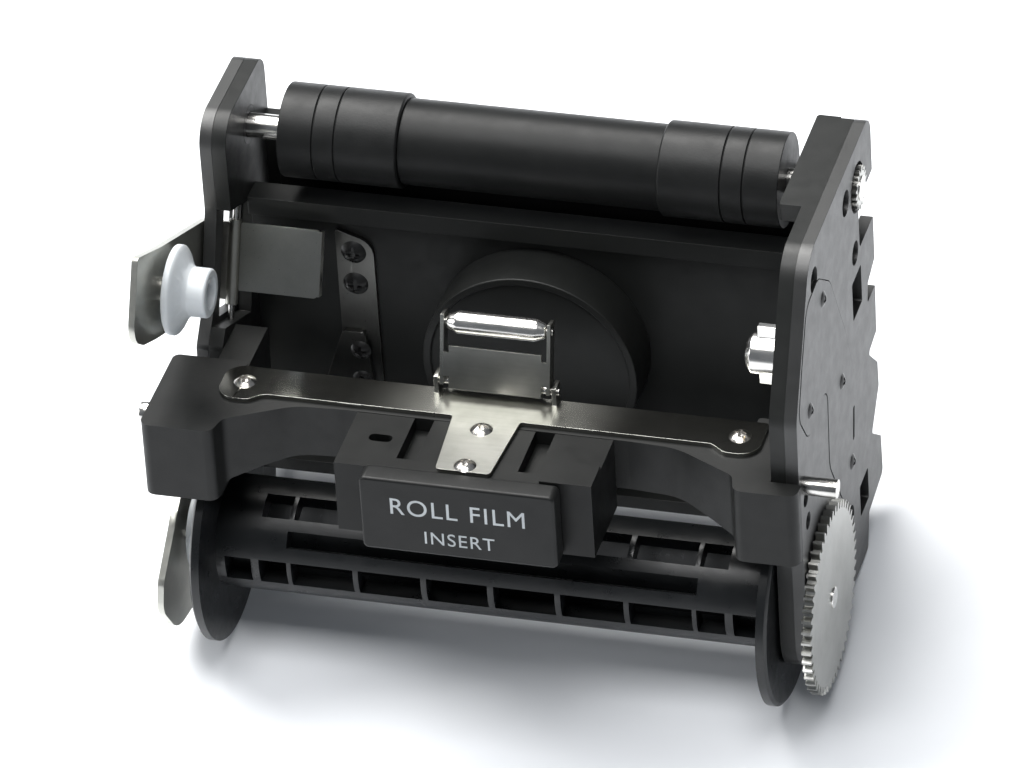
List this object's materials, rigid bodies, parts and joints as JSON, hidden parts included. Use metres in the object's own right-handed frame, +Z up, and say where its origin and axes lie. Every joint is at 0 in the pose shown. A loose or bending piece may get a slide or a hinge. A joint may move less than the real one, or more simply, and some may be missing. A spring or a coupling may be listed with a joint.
{
  "type": "roll film insert",
  "caption": "Medium-format roll film insert with a take-up spool, swinging spool arms, guide rollers, tension roller and sprung pressure plate.",
  "frame": {"origin": "centre of the bounding box, on the floor the insert stands on", "axes": "+X along the spools, towards the geared side; +Y from the label towards the pressure plate; +Z up from the floor"},
  "size_m": [0.0782, 0.0504, 0.0557],
  "materials": {
    "body_black": "moulded black plastic, faint grain",
    "cover_black": "matte black lacquer on aluminium",
    "bar_black": "moulded black plastic, satin",
    "grip_black": "moulded black plastic, satin",
    "label_black": "black anodised label plate",
    "strip_steel": "brushed stainless",
    "arm_steel": "nickel-plated pressed steel",
    "leaf_steel": "brushed stainless leaf",
    "bracket_steel": "pressed steel",
    "screw_black": "blackened steel",
    "screw_bright": "bright steel",
    "pin_steel": "ground steel",
    "hub_chrome": "nickel-plated",
    "gear_metal": "milled nickel-plated steel",
    "gear_brass": "milled brass",
    "nylon_white": "white nylon",
    "spool_black": "moulded black spool plastic",
    "roller_black": "black anodised aluminium, satin",
    "collar_black": "black rubberised collar",
    "plate_black": "black anodised pressure plate",
    "bush_brass": "turned brass",
    "bush_black": "black nylon bush",
    "spring_steel": "spring wire"
  },
  "bodies": {
    "frame": {"left_side_plate": "body_black", "left_side_cover": "cover_black", "right_side_plate": "body_black", "right_side_cover": "cover_black", "gear_cover": "cover_black", "gear_cover_screws": "screw_black", "crossbar_side_screws": "screw_black", "back_wall": "body_black", "plate_spring_drum": "body_black", "stud_bush": "bush_brass", "crossbar": "bar_black", "locating_pin_left": "pin_steel", "locating_pin_right": "pin_steel", "grip_block": "grip_black", "label_plate": "label_black", "t_strip": "strip_steel", "t_strip_screws": "screw_bright", "tension_hinge_pin": "pin_steel", "wall_bracket": "bracket_steel", "lower_bracket": "bracket_steel", "bracket_screws": "screw_black", "roller_bushes": "bush_black", "lower_roller_bushes": "bush_brass", "supply_hinge_pin": "pin_steel", "takeup_hinge_pin": "pin_steel", "drive_bushes": "bush_brass", "gear_studs": "pin_steel"},
    "film_roller": {"roller_sleeve": "roller_black", "roller_collar_left": "collar_black", "roller_collar_right": "collar_black", "roller_shaft": "pin_steel", "roller_gear": "gear_metal"},
    "guide_roller": {"lower_roller_sleeve": "roller_black", "lower_roller_shaft": "pin_steel"},
    "supply_spool_arm": {"supply_arm": "arm_steel", "supply_spindle": "pin_steel", "spool_ejector_leaf": "leaf_steel"},
    "supply_spool_hub": {"supply_hub": "nylon_white"},
    "takeup_spool_arm": {"takeup_arm": "arm_steel", "takeup_spindle": "pin_steel"},
    "takeup_spool_hub": {"takeup_hub": "nylon_white"},
    "film_spool": {"takeup_spool": "spool_black"},
    "takeup_drive": {"takeup_drive_hub": "hub_chrome", "takeup_gear": "gear_metal"},
    "supply_drive": {"supply_drive_hub": "hub_chrome", "supply_gear": "gear_brass"},
    "middle_gear_body": {"middle_gear": "gear_brass"},
    "idler_gear_body": {"idler_gear": "gear_brass"},
    "counter_gear_body": {"counter_gear": "gear_brass"},
    "tension_frame": {"tension_lever": "strip_steel", "tension_axle": "pin_steel"},
    "tension_roller_body": {"tension_roller": "hub_chrome"},
    "pressure_plate_body": {"pressure_plate": "plate_black", "pressure_plate_stud": "pin_steel", "plate_spring": "spring_steel"}
  },
  "joints": [
    {"name": "film_roller_spin", "type": "hinge", "parent": "frame", "child": "film_roller", "pos_m": [-0.00065, 0.01789, 0.04623], "axis": [1, 0, 0], "continuous": true},
    {"name": "guide_roller_spin", "type": "hinge", "parent": "frame", "child": "guide_roller", "pos_m": [-0.00065, 0.01208, 0.00768], "axis": [1, 0, 0], "continuous": true},
    {"name": "supply_arm_swing", "type": "hinge", "parent": "frame", "child": "supply_spool_arm", "pos_m": [-0.0344, 0.00818, 0.03431], "axis": [0, -0.5821, -0.8131], "range_deg": [0, 35], "stiffness_Nm_per_rad": 0.006, "springref_deg": -20.05},
    {"name": "supply_hub_spin", "type": "hinge", "parent": "supply_spool_arm", "child": "supply_spool_hub", "pos_m": [-0.03365, -0.00613, 0.04455], "axis": [1, 0, 0], "continuous": true},
    {"name": "takeup_arm_swing", "type": "hinge", "parent": "frame", "child": "takeup_spool_arm", "pos_m": [-0.0344, 0.00331, 0.01739], "axis": [0, 0.3024, -0.9532], "range_deg": [0, 35], "stiffness_Nm_per_rad": 0.006, "springref_deg": -20.05},
    {"name": "takeup_hub_spin", "type": "hinge", "parent": "takeup_spool_arm", "child": "takeup_spool_hub", "pos_m": [-0.03365, -0.01194, 0.01255], "axis": [1, 0, 0], "continuous": true},
    {"name": "film_spool_spin", "type": "hinge", "parent": "frame", "child": "film_spool", "pos_m": [-0.00065, -0.01194, 0.01255], "axis": [1, 0, 0], "continuous": true},
    {"name": "takeup_drive_spin", "type": "hinge", "parent": "frame", "child": "takeup_drive", "pos_m": [0.03435, -0.01194, 0.01255], "axis": [1, 0, 0], "continuous": true},
    {"name": "supply_drive_spin", "type": "hinge", "parent": "frame", "child": "supply_drive", "pos_m": [0.03135, -0.00613, 0.04455], "axis": [1, 0, 0], "continuous": true},
    {"name": "middle_gear_spin", "type": "hinge", "parent": "frame", "child": "middle_gear_body", "pos_m": [0.03435, -0.00087, 0.04192], "axis": [1, 0, 0], "continuous": true},
    {"name": "idler_gear_spin", "type": "hinge", "parent": "frame", "child": "idler_gear_body", "pos_m": [0.03435, 0.00251, 0.03749], "axis": [1, 0, 0], "continuous": true},
    {"name": "counter_gear_spin", "type": "hinge", "parent": "frame", "child": "counter_gear_body", "pos_m": [0.03435, 0.00122, 0.03268], "axis": [1, 0, 0], "continuous": true},
    {"name": "tension_swing", "type": "hinge", "parent": "frame", "child": "tension_frame", "pos_m": [-0.00065, -0.00582, 0.03434], "axis": [-1, 0, 0], "range_deg": [0, 60], "stiffness_Nm_per_rad": 0.0006, "springref_deg": -34.38},
    {"name": "tension_roller_spin", "type": "hinge", "parent": "tension_frame", "child": "tension_roller_body", "pos_m": [-0.00065, -0.00278, 0.04054], "axis": [1, 0, 0], "continuous": true},
    {"name": "pressure_plate_slide", "type": "slide", "parent": "frame", "child": "pressure_plate_body", "axis": [0, -0.9767, 0.2147], "range_m": [0, 0.001], "stiffness_N_per_m": 60, "springref_m": -0.004}
  ],
  "couplings": [
    {"joint": "takeup_drive_spin", "follows": "film_spool_spin", "ratio": 1},
    {"joint": "middle_gear_spin", "follows": "supply_drive_spin", "ratio": -0.95},
    {"joint": "idler_gear_spin", "follows": "supply_drive_spin", "ratio": 1.1176},
    {"joint": "counter_gear_spin", "follows": "supply_drive_spin", "ratio": -1.1875}
  ]
}
